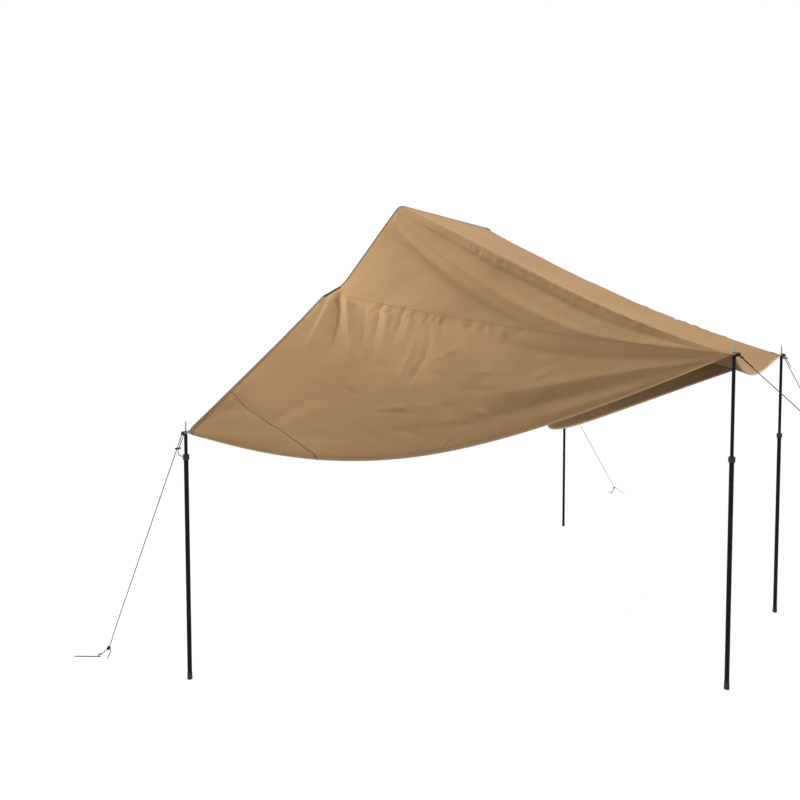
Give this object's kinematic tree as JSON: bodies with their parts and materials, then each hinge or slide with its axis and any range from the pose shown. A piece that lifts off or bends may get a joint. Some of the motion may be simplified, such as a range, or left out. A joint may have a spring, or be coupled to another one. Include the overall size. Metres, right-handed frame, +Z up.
{
  "type": "roof tent sun canopy",
  "caption": "Tan canvas sun canopy that hangs from a roof tent's edge and stands on telescopic poles with guy lines, runners and pegs, widening over two wings.",
  "frame": {"origin": "on the ground, under the middle of the pitched canopy's box without its guy lines and pegs", "axes": "+X away from the tent over the shelter, +Y along the tent from the near wing to the far wing, +Z up"},
  "size_m": [5.1151, 7.3665, 2.8882],
  "materials": {
    "canvas": "matte",
    "bound_canvas": "matte",
    "webbing": "matte",
    "pole_steel": "satin",
    "zinc_steel": "satin",
    "black_plastic": "satin",
    "foot_rubber": "matte",
    "guy_cord": "matte"
  },
  "bodies": {
    "canopy": {"roof_panel": "canvas", "near_upper_panel": "canvas", "far_upper_panel": "canvas", "near_wing_panel": "canvas", "far_wing_panel": "canvas", "near_wing_corner": "canvas", "far_wing_corner": "canvas", "near_hem": "bound_canvas", "far_hem": "bound_canvas", "near_rear_hem": "bound_canvas", "far_rear_hem": "bound_canvas", "front_hem": "bound_canvas", "tent_edge_binding": "webbing", "near_edge_strap": "webbing", "far_edge_strap": "webbing", "near_wing_corner_tab": "bound_canvas", "near_wing_eyelet": "zinc_steel", "near_wing_spike": "zinc_steel", "near_wing_upper_tube": "pole_steel", "near_wing_guy_line": "guy_cord", "near_wing_peg": "zinc_steel", "near_outer_corner_tab": "bound_canvas", "near_outer_eyelet": "zinc_steel", "near_outer_spike": "zinc_steel", "near_outer_upper_tube": "pole_steel", "near_outer_guy_line": "guy_cord", "near_outer_peg": "zinc_steel", "far_outer_corner_tab": "bound_canvas", "far_outer_eyelet": "zinc_steel", "far_outer_spike": "zinc_steel", "far_outer_upper_tube": "pole_steel", "far_outer_guy_line": "guy_cord", "far_outer_peg": "zinc_steel", "far_wing_corner_tab": "bound_canvas", "far_wing_eyelet": "zinc_steel", "far_wing_spike": "zinc_steel", "far_wing_upper_tube": "pole_steel", "far_wing_guy_line": "guy_cord", "far_wing_peg": "zinc_steel"},
    "near_wing_leg": {"near_wing_lower_tube": "pole_steel", "near_wing_lock_sleeve": "black_plastic", "near_wing_foot": "foot_rubber"},
    "near_wing_lock_nut": {"near_wing_lock_collar": "black_plastic"},
    "near_wing_tensioner": {"near_wing_runner": "black_plastic"},
    "near_outer_leg": {"near_outer_lower_tube": "pole_steel", "near_outer_lock_sleeve": "black_plastic", "near_outer_foot": "foot_rubber"},
    "near_outer_lock_nut": {"near_outer_lock_collar": "black_plastic"},
    "near_outer_tensioner": {"near_outer_runner": "black_plastic"},
    "far_outer_leg": {"far_outer_lower_tube": "pole_steel", "far_outer_lock_sleeve": "black_plastic", "far_outer_foot": "foot_rubber"},
    "far_outer_lock_nut": {"far_outer_lock_collar": "black_plastic"},
    "far_outer_tensioner": {"far_outer_runner": "black_plastic"},
    "far_wing_leg": {"far_wing_lower_tube": "pole_steel", "far_wing_lock_sleeve": "black_plastic", "far_wing_foot": "foot_rubber"},
    "far_wing_lock_nut": {"far_wing_lock_collar": "black_plastic"},
    "far_wing_tensioner": {"far_wing_runner": "black_plastic"}
  },
  "joints": [
    {"name": "near_wing_leg_slide", "type": "slide", "parent": "canopy", "child": "near_wing_leg", "axis": [0, 0, 1], "range_m": [-0.8, 0.1]},
    {"name": "near_wing_lock_twist", "type": "hinge", "parent": "near_wing_leg", "child": "near_wing_lock_nut", "pos_m": [-0.945, -2.42, 1.25], "axis": [0, 0, 1], "range_deg": [-180, 0]},
    {"name": "near_wing_runner_slide", "type": "slide", "parent": "canopy", "child": "near_wing_tensioner", "axis": [-0.4255, -0.0621, -0.9028], "range_m": [-0.055, 0.004]},
    {"name": "near_outer_leg_slide", "type": "slide", "parent": "canopy", "child": "near_outer_leg", "axis": [0, 0, 1], "range_m": [-0.38, 0.52]},
    {"name": "near_outer_lock_twist", "type": "hinge", "parent": "near_outer_leg", "child": "near_outer_lock_nut", "pos_m": [1.49, -0.76, 1.25], "axis": [0, 0, 1], "range_deg": [-180, 0]},
    {"name": "near_outer_runner_slide", "type": "slide", "parent": "canopy", "child": "near_outer_tensioner", "axis": [0.6386, 0.3538, -0.6833], "range_m": [-0.006, 0.026]},
    {"name": "far_outer_leg_slide", "type": "slide", "parent": "canopy", "child": "far_outer_leg", "axis": [0, 0, 1], "range_m": [-0.38, 0.52]},
    {"name": "far_outer_lock_twist", "type": "hinge", "parent": "far_outer_leg", "child": "far_outer_lock_nut", "pos_m": [1.435, 0.76, 1.25], "axis": [0, 0, 1], "range_deg": [-180, 0]},
    {"name": "far_outer_runner_slide", "type": "slide", "parent": "canopy", "child": "far_outer_tensioner", "axis": [0.3284, 0.4621, -0.8238], "range_m": [-0.006, 0.026]},
    {"name": "far_wing_leg_slide", "type": "slide", "parent": "canopy", "child": "far_wing_leg", "axis": [0, 0, 1], "range_m": [-0.8, 0.1]},
    {"name": "far_wing_lock_twist", "type": "hinge", "parent": "far_wing_leg", "child": "far_wing_lock_nut", "pos_m": [-0.945, 2.42, 1.25], "axis": [0, 0, 1], "range_deg": [-180, 0]},
    {"name": "far_wing_runner_slide", "type": "slide", "parent": "canopy", "child": "far_wing_tensioner", "axis": [-0.108, 0.8485, -0.5181], "range_m": [-0.055, 0.004]}
  ]
}
